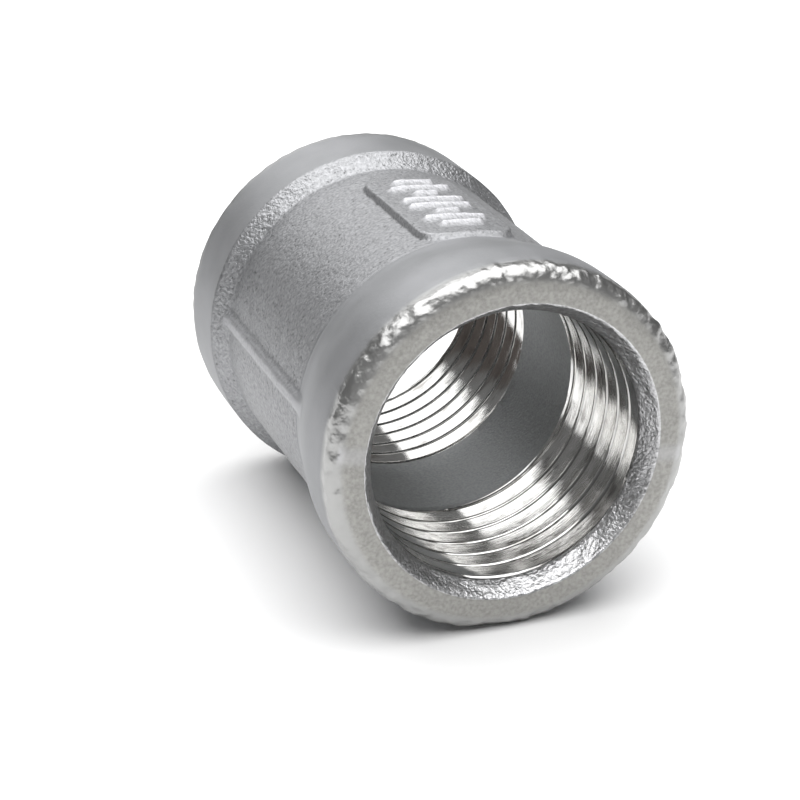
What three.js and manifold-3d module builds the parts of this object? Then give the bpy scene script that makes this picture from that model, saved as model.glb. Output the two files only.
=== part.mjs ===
// Pipe coupling: a banded socket, size 1/2 inch, with a female parallel pipe thread
// (G 1/2, 14 threads per inch, 55 degree form, right hand) cut into both ends.
//
// The whole fitting is one stainless investment casting, so it is one solid:
//   - a plain barrel with a thicker band at each end, joined by smooth flares;
//   - a raised, flat-topped marking pad on top, with generic raised bars on it;
//   - a low axial rib on each side, over the joint line of the wax mould;
//   - a cast chamfer at each mouth, a thread behind it, and a plain relief between the threads.
//
// Millimetres. The fitting lies on its side: pipe axis along Y, +Z up, origin on the pipe axis
// halfway along it. An angle is measured about the pipe axis from +X towards +Z.

import * as THREE from 'three';
import { mergeVertices } from 'three/addons/utils/BufferGeometryUtils.js';
import Module from 'manifold-3d';

// ---- Driving dimensions -------------------------------------------------------------------

const LENGTH = 34.0;              // overall, face to face
const BAND_RADIUS = 13.0;         // outside of the two end bands
const BARREL_RADIUS = 12.0;       // outside of the barrel between the flares
const FRONT_FLARE = [7.2, 12.8];  // distances from the middle where the barrel starts to swell...
const REAR_FLARE = [9.3, 11.3];   // ...and where the full band begins: the rear flare is steeper
const EDGE_AXIAL = 1.1;           // rounding of the outer end edge, along the axis
const FACE_RADIUS = 11.2;         // outside of the flat end face, where the rounding starts

const THREAD_PITCH = 25.4 / 14;
const THREAD_MAJOR_RADIUS = 20.955 / 2;
const THREAD_CREST_RADIUS = 9.6;  // the drilled bore, which leaves flat crests
const THREAD_HALF_ANGLE = 27.5;   // degrees, half of the 55 degree form
const THREAD_PHASE_ANGLE = 7;     // degrees: at this angle a groove of the front thread is centred...
const THREAD_PHASE_PLACE = 10.49; // ...this far from the middle
const RUN_OUT_TURNS = 1.1;        // the innermost turns grow shallower, as a tap leaves them

const MOUTH_RADIUS = 10.5;        // chamfer at the end face, just over the thread's major radius
const MOUTH_DEPTH = 1.4;
const RELIEF_HALF_LENGTH = 4.2;   // plain stretch between the two threads
const RELIEF_RADIUS = 9.75;
const RELIEF_STEP = 0.25;

const PAD = { angle: 86, width: 7.1, length: 14.2, corner: 1.3, foot: 11.0, top: 12.35, slope: 0.4 };
const RIB = { angle: 173, width: 2.1, foot: 11.3, top: 12.4, halfLength: 9.7, slope: 0.2 };
const BAR = { width: 0.5, height: 0.18, sink: 0.3, slope: 0.1, spacing: 1.12 };
const BAR_ROWS = [4.4, 2.6, 4.4, 0, 1.6, 4.4, 1.6, 0, 4.4, 2.6, 4.4];   // bar lengths, 0 for a blank row

const FACETS = 32;                // around the fitting, and in each turn of the thread
const FACET_ANGLE = 2 * Math.PI / FACETS;
const ACROSS_FLATS = 1 / Math.cos(FACET_ANGLE / 2);   // so that opposite outer facets are at full size

// ---- Helpers ------------------------------------------------------------------------------

const wasm = await Module();
wasm.setup();

function toSolid(geometry) {
  const bare = geometry.clone();
  bare.deleteAttribute('normal');
  bare.deleteAttribute('uv');
  const merged = mergeVertices(bare, 1e-4);
  return new wasm.Manifold(new wasm.Mesh({
    numProp: 3,
    vertProperties: new Float32Array(merged.attributes.position.array),
    triVerts: new Uint32Array(merged.index.array),
  }));
}

function toGeometry(solid) {
  const mesh = solid.getMesh();
  const geometry = new THREE.BufferGeometry();
  geometry.setAttribute('position', new THREE.BufferAttribute(mesh.vertProperties, 3));
  geometry.setIndex(new THREE.BufferAttribute(mesh.triVerts, 1));
  geometry.computeVertexNormals();
  return geometry;
}

const smoothStep = (t) => t * t * (3 - 2 * t);

// Turns a solid built on top of the fitting (angle 90) to another angle about the pipe axis.
const turnTo = (geometry, angle) => geometry.rotateY(THREE.MathUtils.degToRad(90 - angle));

// ---- The turned shape ---------------------------------------------------------------------

// Half of the outer profile, as (radius, distance from the middle), from the middle to the mouth.
function outerHalfProfile([flareStart, flareEnd]) {
  const points = [];
  const flareSteps = 5;
  for (let i = 0; i <= flareSteps; i += 1) {
    const t = i / flareSteps;
    const radius = BARREL_RADIUS + (BAND_RADIUS - BARREL_RADIUS) * smoothStep(t);
    points.push([radius * ACROSS_FLATS, flareStart + (flareEnd - flareStart) * t]);
  }
  const edgeSteps = 4;
  for (let i = 0; i <= edgeSteps; i += 1) {
    const turn = (Math.PI / 2) * (i / edgeSteps);
    const radius = FACE_RADIUS + (BAND_RADIUS - FACE_RADIUS) * Math.cos(turn);
    points.push([radius * ACROSS_FLATS, LENGTH / 2 - EDGE_AXIAL * (1 - Math.sin(turn))]);
  }
  return points;
}

// Half of the bore, from the mouth back to the middle.
function innerHalfProfile() {
  return [
    [MOUTH_RADIUS, LENGTH / 2],
    [THREAD_CREST_RADIUS, LENGTH / 2 - MOUTH_DEPTH],
    [THREAD_CREST_RADIUS, RELIEF_HALF_LENGTH + RELIEF_STEP],
    [RELIEF_RADIUS, RELIEF_HALF_LENGTH],
  ];
}

function turnedBody() {
  const rear = [...outerHalfProfile(REAR_FLARE), ...innerHalfProfile()];
  const front = [...outerHalfProfile(FRONT_FLARE), ...innerHalfProfile()];
  const mirrored = front.map(([radius, place]) => [radius, -place]).reverse();
  const ring = [...rear, ...mirrored].map(([radius, place]) => new THREE.Vector2(radius, place));
  ring.push(ring[0].clone());
  // Starting half a facet round puts a facet, not an edge, at the top, bottom and both sides.
  return toSolid(new THREE.LatheGeometry(ring, FACETS, FACET_ANGLE / 2));
}

// ---- The threads --------------------------------------------------------------------------

// The solid that the tap removes from one end: a sharp 55 degree tooth swept along a right-hand
// helix. end is -1 for the front (-Y) thread and +1 for the rear one. Its corners lie at the same
// angles as the corners of the turned body.
function threadTooth(end) {
  const slope = Math.tan(THREE.MathUtils.degToRad(THREAD_HALF_ANGLE));
  const footRadius = THREAD_CREST_RADIUS - 0.5;
  // The helix goes towards -Y as the angle grows, on both ends, which makes it right-handed.
  const phase = THREE.MathUtils.degToRad(THREAD_PHASE_ANGLE);
  const placeAt = (step) => {
    const angle = (step + 0.5) * FACET_ANGLE;
    return -THREAD_PHASE_PLACE - (THREAD_PITCH * (angle - phase)) / (2 * Math.PI);
  };
  const stepAt = (place) => Math.round((placeAt(0) - place) / (THREAD_PITCH / FACETS));
  const first = stepAt(end * (RELIEF_HALF_LENGTH - THREAD_PITCH / 2));
  const last = stepAt(end * (LENGTH / 2 + THREAD_PITCH / 2));
  const steps = Math.abs(last - first);
  const positions = [];
  for (let i = 0; i <= steps; i += 1) {
    const step = first + i * Math.sign(last - first);
    const angle = (step + 0.5) * FACET_ANGLE;
    const place = placeAt(step);
    const depthShare = Math.min(1, (i + 1) / (RUN_OUT_TURNS * FACETS));
    const rootRadius = RELIEF_RADIUS + (THREAD_MAJOR_RADIUS - RELIEF_RADIUS) * depthShare;
    const footHalf = (rootRadius - footRadius) * slope;
    for (const [radius, shift] of [[footRadius, -footHalf], [footRadius, footHalf], [rootRadius, 0]]) {
      positions.push(radius * Math.cos(angle), place + shift, radius * Math.sin(angle));
    }
  }
  const index = [];
  const triangle = (a, b, c) => index.push(...(end < 0 ? [b, a, c] : [a, b, c]));
  for (let i = 0; i < steps; i += 1) {
    for (let k = 0; k < 3; k += 1) {
      const near = 3 * i + k;
      const next = 3 * i + ((k + 1) % 3);
      triangle(near, next, next + 3);
      triangle(near, next + 3, near + 3);
    }
  }
  triangle(2, 1, 0);
  triangle(3 * steps, 3 * steps + 1, 3 * steps + 2);
  const geometry = new THREE.BufferGeometry();
  geometry.setAttribute('position', new THREE.Float32BufferAttribute(positions, 3));
  geometry.setIndex(index);
  return toSolid(geometry);
}

// ---- The raised details -------------------------------------------------------------------

function roundedRectangle(width, length, corner, curveSegments) {
  const x = width / 2 - corner;
  const y = length / 2 - corner;
  const outline = new THREE.Shape();
  outline.absarc(x, y, corner, 0, Math.PI / 2);
  outline.absarc(-x, y, corner, Math.PI / 2, Math.PI);
  outline.absarc(-x, -y, corner, Math.PI, 1.5 * Math.PI);
  outline.absarc(x, -y, corner, 1.5 * Math.PI, 2 * Math.PI);
  outline.closePath();
  return new THREE.Shape(outline.getPoints(curveSegments));
}

// A rounded block with sloping edges, its top at the height top, its foot at the height foot.
function raisedBlock({ width, length, corner, foot, top, slope, curveSegments = 3 }) {
  const inset = roundedRectangle(width - 2 * slope, length - 2 * slope, corner, curveSegments);
  const block = new THREE.ExtrudeGeometry(inset, {
    depth: top - foot - 2 * slope,
    bevelEnabled: true,
    bevelThickness: slope,
    bevelSize: slope,
    bevelSegments: 1,
  });
  return block.translate(0, 0, foot + slope);
}

function markingPad() {
  const pad = toSolid(turnTo(raisedBlock(PAD), PAD.angle));
  const firstRow = -((BAR_ROWS.length - 1) / 2) * BAR.spacing;
  let solid = pad;
  BAR_ROWS.forEach((length, row) => {
    if (length === 0) {
      return;
    }
    const bar = raisedBlock({
      width: length,
      length: BAR.width,
      corner: BAR.width / 2 - BAR.slope,
      foot: PAD.top - BAR.sink,
      top: PAD.top + BAR.height,
      slope: BAR.slope,
      curveSegments: 1,
    });
    bar.translate(0, firstRow + row * BAR.spacing, 0);
    solid = solid.add(toSolid(turnTo(bar, PAD.angle)));
  });
  return solid;
}

function sideRib(angle) {
  return toSolid(turnTo(raisedBlock({ ...RIB, length: 2 * RIB.halfLength, corner: 0.3 }), angle));
}

// ---- The coupling -------------------------------------------------------------------------

function couplingBody() {
  const solid = turnedBody()
    .add(markingPad())
    .add(sideRib(RIB.angle))
    .add(sideRib(RIB.angle + 180))
    .subtract(threadTooth(-1))
    .subtract(threadTooth(1));
  const castStainless = new THREE.MeshStandardMaterial({ color: 0x94949a, roughness: 0.45, metalness: 1 });
  const mesh = new THREE.Mesh(toGeometry(solid), castStainless);
  mesh.name = 'coupling_body';
  return mesh;
}

const coupling = new THREE.Group();
coupling.add(couplingBody());
export default coupling;
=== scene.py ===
"""Banded pipe coupling in cast stainless steel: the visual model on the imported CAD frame.

The coupling lies on its side with its pipe axis along Y. The whole casting is one closed mesh. Its
surface is a set of rings round the axis: the outer rings carry the end faces, bands, flares, barrel,
marking pad and ribs, and the inner rings carry the mouths, both threads and the plain relief.
Angles are measured about the axis from +X towards +Z. Lengths are in metres.
"""

import math

import bpy
import numpy as np
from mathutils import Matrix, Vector


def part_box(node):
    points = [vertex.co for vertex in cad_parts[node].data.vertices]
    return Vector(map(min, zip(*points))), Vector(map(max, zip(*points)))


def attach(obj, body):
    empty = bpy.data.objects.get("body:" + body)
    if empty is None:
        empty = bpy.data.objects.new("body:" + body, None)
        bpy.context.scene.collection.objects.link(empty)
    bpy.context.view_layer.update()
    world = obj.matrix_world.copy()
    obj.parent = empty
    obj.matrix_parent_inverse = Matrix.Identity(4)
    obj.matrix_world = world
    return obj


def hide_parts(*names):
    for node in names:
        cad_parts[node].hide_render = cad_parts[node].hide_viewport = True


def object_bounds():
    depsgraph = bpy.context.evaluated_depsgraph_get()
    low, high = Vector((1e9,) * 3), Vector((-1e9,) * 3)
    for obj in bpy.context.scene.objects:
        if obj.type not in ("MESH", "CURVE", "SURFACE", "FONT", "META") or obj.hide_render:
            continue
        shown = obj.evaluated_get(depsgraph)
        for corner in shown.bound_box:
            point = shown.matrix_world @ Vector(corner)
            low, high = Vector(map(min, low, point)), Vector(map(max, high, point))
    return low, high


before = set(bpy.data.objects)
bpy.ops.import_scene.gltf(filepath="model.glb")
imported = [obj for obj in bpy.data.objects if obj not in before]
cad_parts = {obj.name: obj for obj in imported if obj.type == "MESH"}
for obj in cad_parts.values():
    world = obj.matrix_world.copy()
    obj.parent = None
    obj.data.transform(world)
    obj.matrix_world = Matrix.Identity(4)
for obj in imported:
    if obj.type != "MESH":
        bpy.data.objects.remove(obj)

cad_low, cad_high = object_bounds()

MM = 0.001
NODE = "coupling_body"

# ---- Sizes ----------------------------------------------------------------------------------

box_low, box_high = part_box(NODE)
HALF_LENGTH = (box_high.y - box_low.y) / 2
BAND_RADIUS = (box_high.x - box_low.x) / 2
BARREL_RADIUS = BAND_RADIUS - 1.0 * MM
FRONT_FLARE = (7.2 * MM, 13.0 * MM)   # distances from the middle where it starts and ends
REAR_FLARE = (9.5 * MM, 10.9 * MM)
FLARE_MARGIN = 0.1 * MM               # the sandy skin ends this far past the rear flare
CREASE_WIDTH = 0.16 * MM              # a fine groove where the front flare starts
CREASE_DEPTH = 0.07 * MM
EDGE_AXIAL = 1.1 * MM                 # rounding of the outer end edge, along the axis
FACE_RADIUS = BAND_RADIUS - 1.7 * MM  # outside of the flat end face, where the rounding starts
EDGE_PLACE = HALF_LENGTH - EDGE_AXIAL

MOUTH_RADIUS = 10.45 * MM
MOUTH_DEPTH = 1.45 * MM
LIP = 0.09 * MM                       # small bevel between the end face and the mouth
CREST_RADIUS = 9.6 * MM
RELIEF_RADIUS = 9.67 * MM
RELIEF_HALF = 4.2 * MM
RELIEF_EDGE = 0.15 * MM               # the step between the relief and a thread
THREAD_START = RELIEF_HALF + RELIEF_EDGE
THREAD_END = HALF_LENGTH - MOUTH_DEPTH
THREAD_PITCH = 25.4 * MM / 14
THREAD_PHASE_ANGLE = math.radians(7)  # at this angle a groove of the front thread is centred...
THREAD_PHASE_PLACE = 10.49 * MM       # ...this far from the middle
GROOVE_WIDTH = 0.42 * MM
GROOVE_DEPTH = 0.32 * MM
GROOVE_FLOOR = 0.12                   # share of the groove's width that is at full depth
RUN_OUT = 1.6 * MM                    # the grooves grow shallower over this length at the relief
CROWN = 0.007 * MM                    # how far the crests bulge inwards between the grooves

PAD = dict(angle=math.radians(86), width=7.1 * MM, length=14.2 * MM, corner=1.9 * MM, flatness=0.5,
           top=12.24 * MM, slope=0.35 * MM, outline=0.16 * MM, outline_depth=0.1 * MM)
RIB = dict(angle=math.radians(172), width=1.7 * MM, top=12.36 * MM, slope=0.6 * MM)
BAR = dict(width=0.84 * MM, height=0.3 * MM, slope=0.36 * MM, spacing=1.4 * MM)
BAR_LENGTHS = [length * MM for length in (3.4, 4.8, 2.2, 4.8, 4.8, 2.2, 4.8, 3.4)]

RIM_LENGTH = 1.75 * MM                # the lumpy rim starts this far from the end face...
RIM_INSET = 0.45 * MM                 # ...and stops this far outside the flat face
RIM_FADE = 0.5 * MM
REAR_RIM_SHARE = 0.35                 # the rear rim is less lumpy than the front one

OUTER_COLUMNS = 300
PAD_COLUMNS = 90
PAD_SECTOR = math.radians(42)
INNER_COLUMNS = 210

ZONES = ("skin", "thread", "relief", "mouth")   # each has its own material, in this order


# ---- Noise and masks ------------------------------------------------------------------------

LATTICE = np.random.default_rng(7).uniform(-1, 1, (32, 32, 32))


def smooth_step(t):
    t = np.clip(t, 0, 1)
    return t * t * (3 - 2 * t)


def value_noise(points, size):
    """Smooth noise from -1 to 1, with lumps about size metres across."""
    scaled = points / size
    cell = np.floor(scaled).astype(int)
    t = smooth_step(scaled - cell)
    total = np.zeros(points.shape[:-1])
    for corner in np.ndindex(2, 2, 2):
        weight = np.prod(np.where(corner, t, 1 - t), axis=-1)
        index = (cell + corner) % len(LATTICE)
        total += weight * LATTICE[index[..., 0], index[..., 1], index[..., 2]]
    return total


def dents(points, size, depth):
    """Dents about size across that go down to twice the depth and never rise above the surface."""
    return depth * (value_noise(points, size) - 1)


def stretch_mask(place, start, end, fade):
    """1 between two places along the axis and 0 outside them, with soft ends."""
    return smooth_step((place - start) / fade) * smooth_step((end - place) / fade)


def around(radius, place, angle):
    """Points, or directions, given by a radius, a place along the axis and an angle about it."""
    radius, place, angle = np.broadcast_arrays(radius, place, angle)
    return np.stack([radius * np.cos(angle), place, radius * np.sin(angle)], axis=-1)


# ---- The outer surface ----------------------------------------------------------------------

def bar_places():
    """The place along the axis of each bar's middle line."""
    first = -(len(BAR_LENGTHS) - 1) / 2 * BAR["spacing"]
    return [first + row * BAR["spacing"] for row in range(len(BAR_LENGTHS))]


def ring_places():
    """Distances from the middle of the rings between the middle and a band's rounded edge."""
    half = BAR["width"] / 2
    places = {0.0}
    for middle in bar_places():
        for shift in (-half, BAR["slope"] - half, 0, half - BAR["slope"], half):
            places.add(round(abs(middle + shift), 7))
    last_bar = max(places)
    band = REAR_FLARE[1] + FLARE_MARGIN
    near_edge = EDGE_PLACE - 0.6 * MM
    # Each stretch of evenly spaced rings starts where the one before it ends.
    places.update(np.linspace(last_bar, FRONT_FLARE[0], 9)[1:])
    places.update((FRONT_FLARE[0] - CREASE_WIDTH, FRONT_FLARE[0] + CREASE_WIDTH))
    places.update(np.linspace(FRONT_FLARE[0], REAR_FLARE[0], 8)[2:])
    places.update(np.linspace(REAR_FLARE[0], REAR_FLARE[1], 10)[1:])
    places.update(np.linspace(band, near_edge, 7))
    places.update(np.linspace(near_edge, EDGE_PLACE, 4)[1:])
    return sorted(places)


def outside_radius(place):
    """The outside without its raised details: a rounded front flare and a steeper rear one."""
    start, end = FRONT_FLARE if place < 0 else REAR_FLARE
    t = min(max((abs(place) - start) / (end - start), 0), 1)
    share = math.sin(math.pi / 2 * t) ** 1.5 if place < 0 else t ** 1.2
    crease = max(0, 1 - abs(place + FRONT_FLARE[0]) / CREASE_WIDTH)
    return BARREL_RADIUS + (BAND_RADIUS - BARREL_RADIUS) * share - CREASE_DEPTH * crease


def outer_rows():
    """(radius, place) of each ring from the front mouth round the outside to the rear mouth."""
    places = ring_places()
    body = [(outside_radius(place), place) for place in [-p for p in reversed(places)] + places[1:]]
    edge = []
    for turn in np.linspace(0, math.pi / 2, 16)[1:]:
        edge.append((FACE_RADIUS + (BAND_RADIUS - FACE_RADIUS) * math.cos(turn),
                     EDGE_PLACE + EDGE_AXIAL * math.sin(turn)))
    for radius in np.linspace(FACE_RADIUS, MOUTH_RADIUS + LIP, 5)[1:]:
        edge.append((radius, HALF_LENGTH))
    front = [(radius, -place) for radius, place in reversed(edge)]
    return np.array(front + body + edge)


def outer_angles():
    """Ring angles, closer together across the marking pad."""
    start = PAD["angle"] - PAD_SECTOR / 2
    fine = start + PAD_SECTOR * np.arange(PAD_COLUMNS) / PAD_COLUMNS
    coarse = start + PAD_SECTOR + (2 * math.pi - PAD_SECTOR) * np.arange(OUTER_COLUMNS) / OUTER_COLUMNS
    return np.concatenate([fine, coarse])


def rounded_distance(u, v, half_u, half_v, corner):
    """Signed distance to a rounded rectangle's outline, negative inside."""
    du = np.abs(u) - (half_u - corner)
    dv = np.abs(v) - (half_v - corner)
    outside = np.hypot(np.maximum(du, 0), np.maximum(dv, 0))
    return outside + np.minimum(np.maximum(du, dv), 0) - corner


def side_facing(angle, middle, radius):
    """Distance across from the angle of a raised detail, and which points are on its side."""
    turn = angle - middle
    return radius * np.sin(turn), np.cos(turn) > 0.5


def raised_details(angle, place, radius):
    """The radius with pad, bars and ribs added, and how far their tops are rubbed bright."""
    across, facing = side_facing(angle, PAD["angle"], radius)
    lean = np.where(facing, np.cos(angle - PAD["angle"]), 1)
    top = np.where(facing, PAD["top"] / lean ** PAD["flatness"], radius)
    edge = rounded_distance(across, place, PAD["width"] / 2, PAD["length"] / 2, PAD["corner"])
    inside = smooth_step(-edge / PAD["slope"]) * facing
    outline = np.clip(1 - np.abs(edge - PAD["outline"]) / PAD["outline"], 0, 1) * facing
    result = radius + (np.maximum(top, radius) - radius) * inside - PAD["outline_depth"] * outline

    worn = np.zeros_like(radius)
    for middle, length in zip(bar_places(), BAR_LENGTHS):
        edge = rounded_distance(across, place - middle, length / 2, BAR["width"] / 2, BAR["width"] / 2)
        worn = np.maximum(worn, np.clip(-edge / BAR["slope"], 0, 1) * facing)
    result = result + BAR["height"] * worn

    for rib_angle in (RIB["angle"], RIB["angle"] + math.pi):
        across, facing = side_facing(angle, rib_angle, radius)
        inside = smooth_step((RIB["width"] / 2 - np.abs(across)) / RIB["slope"]) * facing
        result = np.maximum(result, radius + (RIB["top"] - radius) * inside)
        worn = np.maximum(worn, 0.4 * inside * (RIB["top"] > radius))
    return result, worn


def skin_masks(radius, place):
    """How far each point belongs to a lumpy rim, an end face, the sandy part and the rear flare."""
    reach = np.abs(place)
    rim = smooth_step((reach - (HALF_LENGTH - RIM_LENGTH)) / RIM_FADE)
    rim = rim * smooth_step((radius - (FACE_RADIUS + RIM_INSET)) / RIM_FADE)
    rim = rim * np.where(place < 0, 1, REAR_RIM_SHARE)
    face = smooth_step((reach - (HALF_LENGTH - 0.5 * MM)) / (0.3 * MM))
    sand = stretch_mask(place, -FRONT_FLARE[0], REAR_FLARE[1] + FLARE_MARGIN, 0.3 * MM)
    flare = stretch_mask(place, REAR_FLARE[0], REAR_FLARE[1] + FLARE_MARGIN, 0.2 * MM)
    return {"rim": rim, "face": face, "sand": sand, "flare": flare}


def skin_shift(points, masks):
    """How far the cast skin lies outside the plain shape: lumps on the rims, dents elsewhere."""
    rim, face = masks["rim"], masks["face"]
    lumps = 0.6 * value_noise(points, 0.62 * MM) + 0.4 * value_noise(points + 1, 0.4 * MM)
    shift = rim * (0.14 * lumps - 0.08) * MM
    shift = shift + dents(points + 2, 1.0 * MM, 0.022 * MM) * face * (1 - rim)
    shift = shift + dents(points + 3, 1.6 * MM, 0.02 * MM) * (1 - face)
    shift = shift + dents(points + 4, 0.5 * MM, 0.03 * MM) * masks["sand"]
    shift[[0, -1]] = 0   # the rings next to the mouths stay round
    return shift


def outer_surface():
    """Rings round the outside, their angles, and one value for each point in every skin mask."""
    profile = outer_rows()
    along = np.gradient(profile, axis=0)
    along /= np.linalg.norm(along, axis=1)[:, None]
    angles = outer_angles()
    radius, place, angle = np.broadcast_arrays(profile[:, :1], profile[:, 1:], angles)
    raised, worn = raised_details(angle, place, radius)
    radius = np.where(np.abs(place) < EDGE_PLACE, raised, radius)
    points = around(radius, place, angle)
    outward = around(along[:, 1:], -along[:, :1], angle)
    masks = {"worn": worn, **skin_masks(radius, place)}
    return points + outward * skin_shift(points, masks)[..., None], angles, masks


# ---- The bore -------------------------------------------------------------------------------

def thread_phase(angle, place):
    """Turns along the helix, whole at the middle of each groove. It is a right-hand thread."""
    return (place + THREAD_PHASE_PLACE) / THREAD_PITCH + (angle - THREAD_PHASE_ANGLE) / (2 * math.pi)


def groove_share(angle, place):
    """How deep the thread is cut at each point, from 0 on the crests to 1 in the grooves."""
    reach = np.abs(place)
    turns = thread_phase(angle, place)
    off = np.abs(turns - np.round(turns)) * THREAD_PITCH
    share = np.minimum(np.clip(1 - off / (GROOVE_WIDTH / 2), 0, 1) / (1 - GROOVE_FLOOR), 1)
    share = share * np.clip((reach - RELIEF_HALF) / RUN_OUT, 0, 1) ** 0.5
    return share * np.clip((THREAD_END + 0.1 * MM - reach) / (0.35 * MM), 0, 1)


def bore_radius(angle, place):
    """The radius of the bore's wall at points given by angle and place along the axis."""
    reach = np.abs(place)
    mouth = (reach - THREAD_END) / MOUTH_DEPTH
    plain = CREST_RADIUS + (MOUTH_RADIUS - CREST_RADIUS) * np.clip(mouth, 0, 1)
    relief = smooth_step((THREAD_START - reach) / RELIEF_EDGE)
    plain = plain + (RELIEF_RADIUS - CREST_RADIUS) * relief
    threaded = (reach > THREAD_START) & (mouth < 0)
    crown = CROWN * np.cos(2 * math.pi * thread_phase(angle, place)) * threaded
    return plain + GROOVE_DEPTH * groove_share(angle, place) + crown


def groove_rows():
    """Places of the rings within one pitch, in turns from the middle of a groove."""
    half = GROOVE_WIDTH / THREAD_PITCH / 2
    rows = [0.0]
    for share in (GROOVE_FLOOR, 0.5, 1, 1 + GROOVE_FLOOR):
        rows += [-share * half, share * half]
    return rows + [0.28, 0.39, 0.5]


def thread_places(angles, start, end):
    """Ring places over one thread: each ring follows the helix and stops at both ends."""
    first = math.floor(float(thread_phase(np.array(0.0), start))) - 1
    last = math.ceil(float(thread_phase(np.array(2 * math.pi), end))) + 1
    turns = [whole + part for whole in range(first, last + 1) for part in groove_rows()]
    helix = (angles - THREAD_PHASE_ANGLE) / (2 * math.pi)
    places = (np.array(sorted(turns))[:, None] - helix) * THREAD_PITCH - THREAD_PHASE_PLACE
    places = np.clip(places, start, end)
    moving = (places.max(axis=1) > start + 1e-9) & (places.min(axis=1) < end - 1e-9)
    return places[moving]


def inner_surface():
    """Rings from the front mouth to the rear one, the last column repeating the first.

    It gives the points, the zone of each ring, and how deep the thread is at each point.
    """
    angles = np.linspace(0, 2 * math.pi, INNER_COLUMNS + 1)
    mouth = np.repeat(np.linspace(HALF_LENGTH - LIP, THREAD_END, 9)[:, None], len(angles), axis=1)
    relief = np.repeat(np.linspace(-THREAD_START, THREAD_START, 11)[:, None], len(angles), axis=1)
    blocks = [
        ("mouth", -mouth),
        ("thread", thread_places(angles, -THREAD_END, -THREAD_START)),
        ("relief", relief),
        ("thread", thread_places(angles, THREAD_START, THREAD_END)),
        ("mouth", mouth[::-1]),
    ]
    places = np.concatenate([block for _, block in blocks])
    zones = [name for name, block in blocks for _ in block]
    radius = bore_radius(angles, places)
    rough = smooth_step((np.abs(places) - THREAD_END) / (0.2 * MM))
    lumps = value_noise(around(radius, places, angles), 0.45 * MM)
    points = around(radius + rough * 0.07 * MM * lumps, places, angles)
    return points, zones, groove_share(angles, places)


# ---- The mesh -------------------------------------------------------------------------------

def stitch(ring_a, ring_b, angles_a, angles_b):
    """Triangles between two rings with different numbers of points, both in rising angle."""
    faces = []
    a = 0
    b = 0
    count_a, count_b = len(ring_a), len(ring_b)
    while a < count_a or b < count_b:
        next_a = angles_a[a + 1] if a + 1 < count_a else angles_a[0] + 2 * math.pi
        next_b = angles_b[b + 1] if b + 1 < count_b else angles_b[0] + 2 * math.pi
        if b >= count_b or (a < count_a and next_a <= next_b):
            faces.append((ring_a[a % count_a], ring_a[(a + 1) % count_a], ring_b[b % count_b]))
            a += 1
        else:
            faces.append((ring_b[(b + 1) % count_b], ring_b[b % count_b], ring_a[a % count_a]))
            b += 1
    return faces


def merge_points(points):
    """Picks one of each set of points that coincide: their indices, and the pick for each point."""
    keys = np.round(points / 1e-7).astype(np.int64)
    _, first, inverse = np.unique(keys, axis=0, return_index=True, return_inverse=True)
    return first, inverse.reshape(-1)


def outer_faces(index):
    """Faces between neighbouring rings of the outside. index has a row of points for each ring."""
    after = np.roll(index, -1, axis=1)
    quads = np.stack([index[:-1], index[1:], after[1:], after[:-1]], axis=-1)
    return [tuple(quad) for quad in quads.reshape(-1, 4).tolist()]


def inner_faces(grid, zones):
    """Faces between neighbouring rings of the bore, less those with no area, and their zones."""
    faces = []
    face_zones = []
    for row in range(len(grid) - 1):
        zone = zones[row] if zones[row] == zones[row + 1] else "thread"
        here, there = grid[row].tolist(), grid[row + 1].tolist()
        for column in range(len(here) - 1):
            corners = (here[column], here[column + 1], there[column + 1], there[column])
            distinct = tuple(dict.fromkeys(corners))
            if len(distinct) > 2:
                faces.append(distinct)
                face_zones.append(zone)
    return faces, face_zones


def mouth_faces(index, grid, outer_angle):
    """Faces that join the first and the last outer ring to those of the bore."""
    inner_angle = np.linspace(0, 2 * math.pi, INNER_COLUMNS + 1)[:-1]
    order = np.argsort(outer_angle % (2 * math.pi))
    rising = (outer_angle % (2 * math.pi))[order]
    front = stitch(index[0][order].tolist(), grid[0][:-1].tolist(), rising, inner_angle)
    rear = stitch(index[-1][order].tolist(), grid[-1][:-1].tolist(), rising, inner_angle)
    return front + [face[::-1] for face in rear]


def coupling_mesh():
    """The casting's mesh, with a material for each zone and the masks stored on its points."""
    outer, outer_angle, masks = outer_surface()
    inner, zones, depth = inner_surface()
    kept, inverse = merge_points(inner.reshape(-1, 3))
    rows, columns, _ = outer.shape
    index = np.arange(rows * columns).reshape(rows, columns)
    grid = rows * columns + inverse.reshape(depth.shape)

    skin = outer_faces(index)
    bore, face_zones = inner_faces(grid, zones)
    mouths = mouth_faces(index, grid, outer_angle)
    face_zones = ["skin"] * len(skin) + face_zones + ["mouth"] * len(mouths)

    vertices = np.concatenate([outer.reshape(-1, 3), inner.reshape(-1, 3)[kept]])
    mesh = bpy.data.meshes.new("coupling_casting")
    mesh.from_pydata(vertices.tolist(), [], skin + bore + mouths)
    mesh.polygons.foreach_set("material_index", [ZONES.index(zone) for zone in face_zones])
    mesh.polygons.foreach_set("use_smooth", [True] * len(face_zones))
    values = {name: np.append(mask, np.zeros(len(kept))) for name, mask in masks.items()}
    values["groove"] = np.append(np.zeros(rows * columns), depth.reshape(-1)[kept])
    for name, value in values.items():
        attribute = mesh.attributes.new(name, "FLOAT", "POINT")
        attribute.data.foreach_set("value", value)
    mesh.update()
    return mesh


# ---- Materials ------------------------------------------------------------------------------

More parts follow.
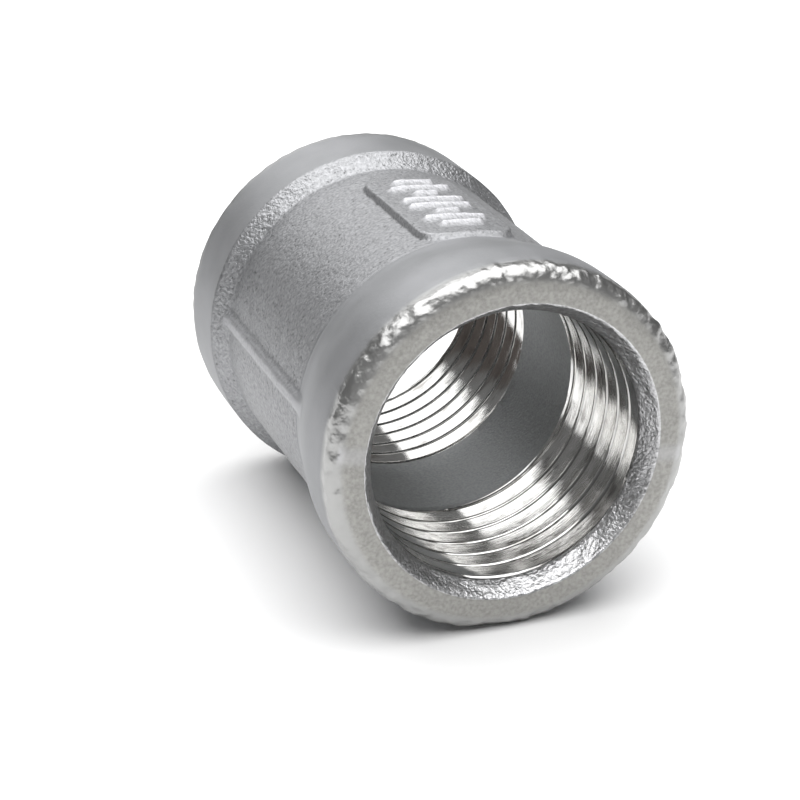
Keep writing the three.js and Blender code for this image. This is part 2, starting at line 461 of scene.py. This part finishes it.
class Nodes:
    """A material's node tree, with one short call for each node."""

    def __init__(self, name, **sockets):
        self.material = bpy.data.materials.new(name)
        self.material.use_nodes = True
        self.tree = self.material.node_tree
        self.shader = self.tree.nodes["Principled BSDF"]
        for socket, value in sockets.items():
            self.shader.inputs[socket.replace("_", " ")].default_value = value

    def add(self, kind, **settings):
        node = self.tree.nodes.new(kind)
        for key, value in settings.items():
            setattr(node, key, value)
        return node

    def link(self, output, target):
        self.tree.links.new(output, target)

    def place(self, scale):
        """The piece's own coordinates, scaled along each axis."""
        coordinates = self.add("ShaderNodeTexCoord")
        mapping = self.add("ShaderNodeMapping")
        mapping.inputs["Scale"].default_value = scale
        self.link(coordinates.outputs["Object"], mapping.inputs["Vector"])
        return mapping.outputs["Vector"]

    def noise(self, size, detail, scale=(1, 1, 1)):
        """Noise with features about size metres across. A small scale draws them out."""
        node = self.add("ShaderNodeTexNoise")
        node.inputs["Scale"].default_value = 1 / size
        node.inputs["Detail"].default_value = detail
        self.link(self.place(scale), node.inputs["Vector"])
        return node.outputs["Fac"]

    def ramp(self, value, stops):
        node = self.add("ShaderNodeValToRGB")
        elements = node.color_ramp.elements
        while len(elements) < len(stops):
            elements.new(0.5)
        for element, (position, colour) in zip(elements, stops):
            element.position = position
            element.color = (*colour, 1)
        self.link(value, node.inputs["Fac"])
        return node.outputs["Color"]

    def to_range(self, value, low, high):
        node = self.add("ShaderNodeMapRange")
        node.inputs["To Min"].default_value = low
        node.inputs["To Max"].default_value = high
        self.link(value, node.inputs["Value"])
        return node.outputs["Result"]

    def math(self, operation, a, b):
        node = self.add("ShaderNodeMath", operation=operation)
        for socket, value in zip(node.inputs, (a, b)):
            if isinstance(value, float):
                socket.default_value = value
            else:
                self.link(value, socket)
        return node.outputs["Value"]

    def mix(self, share, a, b):
        node = self.add("ShaderNodeMix", data_type="RGBA")
        self.link(share, node.inputs["Factor"])
        for socket, value in ((node.inputs[6], a), (node.inputs[7], b)):
            if isinstance(value, tuple):
                socket.default_value = (*value, 1)
            else:
                self.link(value, socket)
        return node.outputs[2]

    def attribute(self, name):
        return self.add("ShaderNodeAttribute", attribute_name=name).outputs["Fac"]

    def bump(self, height, distance, strength=1.0, normal=None):
        node = self.add("ShaderNodeBump")
        node.inputs["Strength"].default_value = strength
        node.inputs["Distance"].default_value = distance
        self.link(height, node.inputs["Height"])
        if normal is not None:
            self.link(normal, node.inputs["Normal"])
        return node.outputs["Normal"]

    def finish(self, colour, roughness, normal):
        for name, output in (("Base Color", colour), ("Roughness", roughness), ("Normal", normal)):
            self.link(output, self.shader.inputs[name])
        return self.material


def cast_skin():
    """The cast outside: sandy barrel and rear flare, smooth bands, pale faces, brighter rubbed tops."""
    nodes = Nodes("cast_skin", Metallic=1.0)
    fine = nodes.noise(0.24 * MM, 2)
    broad = nodes.noise(3.0 * MM, 2)
    face = nodes.attribute("face")
    sand = nodes.attribute("sand")
    rim = nodes.attribute("rim")
    flare = nodes.attribute("flare")
    smooth_grey = nodes.ramp(broad, [(0.3, (0.315, 0.32, 0.328)), (0.7, (0.355, 0.358, 0.37))])
    sandy_grey = nodes.ramp(fine, [(0.27, (0.15, 0.15, 0.155)), (0.34, (0.275, 0.278, 0.285)),
                                   (0.48, (0.32, 0.323, 0.332)), (0.7, (0.40, 0.402, 0.415))])
    pale = nodes.ramp(fine, [(0.3, (0.34, 0.335, 0.32)), (0.7, (0.45, 0.445, 0.425))])
    colour = nodes.mix(sand, smooth_grey, sandy_grey)
    colour = nodes.mix(face, colour, pale)
    colour = nodes.mix(rim, colour, (0.40, 0.40, 0.395))
    colour = nodes.mix(nodes.attribute("worn"), colour, (0.56, 0.56, 0.58))
    rough = nodes.to_range(broad, 0.52, 0.60)
    rough = nodes.math("SUBTRACT", rough, nodes.math("MULTIPLY", rim, 0.22))
    rough = nodes.math("SUBTRACT", rough, nodes.math("MULTIPLY", flare, 0.08))
    rough = nodes.math("ADD", rough, nodes.math("MULTIPLY", face, 0.05))
    grain = nodes.math("ADD", nodes.math("MULTIPLY", sand, 0.8), 0.2)
    grain = nodes.math("ADD", grain, nodes.math("MULTIPLY", flare, 0.9))
    normal = nodes.bump(nodes.math("MULTIPLY", fine, grain), 0.06 * MM)
    normal = nodes.bump(nodes.math("MULTIPLY", nodes.noise(0.4 * MM, 1), rim), 0.05 * MM, 1.0, normal)
    return nodes.finish(colour, rough, normal)


def machined_thread():
    """Bright cut metal with fine turning marks round the bore and painted shade in the grooves."""
    nodes = Nodes("machined_thread", Metallic=1.0)
    marks = nodes.noise(0.09 * MM, 2, (0.05, 1, 0.05))
    blotches = nodes.noise(1.0 * MM, 3, (0.5, 1, 0.5))
    colour = nodes.ramp(blotches, [(0.30, (0.42, 0.41, 0.395)), (0.42, (0.70, 0.695, 0.68)),
                                   (0.7, (0.82, 0.815, 0.80))])
    # Painted shade: the grooves are coloured near black by their depth, standing in for the shadow the
    # crests cast into them.
    colour = nodes.mix(nodes.attribute("groove"), colour, (0.07, 0.068, 0.065))
    rough = nodes.to_range(marks, 0.05, 0.13)
    normal = nodes.bump(marks, 0.008 * MM)
    normal = nodes.bump(nodes.noise(0.8 * MM, 1), 0.005 * MM, 0.5, normal)
    return nodes.finish(colour, rough, normal)


def cast_relief():
    """The plain, dull stretch between the threads, still as cast."""
    nodes = Nodes("cast_relief", Metallic=1.0)
    fine = nodes.noise(0.18 * MM, 3)
    colour = nodes.ramp(fine, [(0.3, (0.27, 0.28, 0.285)), (0.7, (0.39, 0.40, 0.405))])
    rough = nodes.to_range(fine, 0.5, 0.7)
    return nodes.finish(colour, rough, nodes.bump(fine, 0.03 * MM))


def cast_mouth():
    """The rough cast chamfer at each mouth."""
    nodes = Nodes("cast_mouth", Metallic=1.0)
    fine = nodes.noise(0.24 * MM, 3)
    colour = nodes.ramp(fine, [(0.3, (0.38, 0.38, 0.385)), (0.7, (0.68, 0.68, 0.69))])
    rough = nodes.to_range(fine, 0.25, 0.4)
    return nodes.finish(colour, rough, nodes.bump(fine, 0.09 * MM))


def make_coupling():
    piece = bpy.data.objects.new("coupling_casting", coupling_mesh())
    bpy.context.scene.collection.objects.link(piece)
    materials = {"skin": cast_skin, "thread": machined_thread, "relief": cast_relief, "mouth": cast_mouth}
    for zone in ZONES:
        piece.data.materials.append(materials[zone]())
    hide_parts(NODE)
    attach(piece, "root")


# ---- The studio -----------------------------------------------------------------------------

def make_panel(name, corners, colour, **sockets):
    """A flat four-cornered panel of matt material."""
    nodes = Nodes("matt_" + name, Base_Color=(*colour, 1), Roughness=0.9, **sockets)
    mesh = bpy.data.meshes.new(name)
    mesh.from_pydata(corners, [], [(0, 1, 2, 3)])
    mesh.materials.append(nodes.material)
    panel = bpy.data.objects.new(name, mesh)
    bpy.context.scene.collection.objects.link(panel)
    return panel


def make_floor():
    half = 4.0
    height = cad_low.z
    corners = [(-half, -half, height), (half, -half, height), (half, half, height), (-half, half, height)]
    floor = make_panel("floor", corners, (0.9, 0.9, 0.9), Specular_IOR_Level=0.1)


def make_card():
    """A dark card behind the coupling that only shows in its reflections and darkens the bore."""
    left, right, place = -18 * MM, 20 * MM, cad_high.y + 24 * MM
    bottom, top = cad_low.z, cad_low.z + 14 * MM
    corners = [(left, place, bottom), (right, place, bottom), (right, place, top), (left, place, top)]
    card = make_panel("card", corners, (0.06, 0.05, 0.045))
    card.visible_camera = False
    card.visible_shadow = False
    card.visible_diffuse = False


def make_softbox(name, azimuth, elevation, distance, size, radiance):
    """An area light of a given brightness that faces the coupling from a direction in degrees."""
    light = bpy.data.lights.new(name, "AREA")
    light.shape = "RECTANGLE"
    light.size, light.size_y = size
    light.energy = radiance * math.pi * size[0] * size[1]
    lamp = bpy.data.objects.new(name, light)
    turn, rise = math.radians(azimuth), math.radians(elevation)
    towards = Vector((math.sin(turn) * math.cos(rise), -math.cos(turn) * math.cos(rise), math.sin(rise)))
    lamp.location = towards * distance
    lamp.rotation_euler = towards.to_track_quat("Z", "Y").to_euler()
    lamp.visible_camera = False
    bpy.context.scene.collection.objects.link(lamp)


def make_light():
    world = bpy.data.worlds.new("studio")
    bpy.context.scene.world = world
    world.use_nodes = True
    background = world.node_tree.nodes["Background"]
    background.inputs["Color"].default_value = (1, 1, 1, 1)
    background.inputs["Strength"].default_value = 0.16
    make_softbox("overhead", 0, 88, 0.45, (0.8, 0.8), 2.9)
    make_softbox("behind", 184, 28, 0.6, (0.4, 0.28), 1.6)


VIEW_AZIMUTH = math.radians(-20.02)
VIEW_ELEVATION = math.radians(22.73)
VIEW_DISTANCE = 12.269   # in band radii, along the line of sight
VIEW_RIGHT = 0.137       # in band radii: where the coupling's middle sits from the picture's centre
VIEW_UP = 0.196
VIEW_LENS = 99.25


def make_camera():
    back = Vector((math.sin(VIEW_AZIMUTH) * math.cos(VIEW_ELEVATION),
                   -math.cos(VIEW_AZIMUTH) * math.cos(VIEW_ELEVATION),
                   math.sin(VIEW_ELEVATION)))
    right = Vector((math.cos(VIEW_AZIMUTH), math.sin(VIEW_AZIMUTH), 0))
    up = back.cross(right)
    middle = (cad_low + cad_high) / 2
    camera = bpy.data.objects.new("camera", bpy.data.cameras.new("camera"))
    camera.data.lens = VIEW_LENS
    camera.data.sensor_width = 36
    camera.data.clip_start = 0.01
    offset = back * VIEW_DISTANCE - right * VIEW_RIGHT - up * VIEW_UP
    camera.location = middle + offset * BAND_RADIUS
    camera.rotation_euler = back.to_track_quat("Z", "Y").to_euler()
    bpy.context.scene.collection.objects.link(camera)
    bpy.context.scene.camera = camera


make_camera()
make_coupling()
make_floor()
make_card()
make_light()
bpy.context.scene.view_settings.view_transform = "Standard"
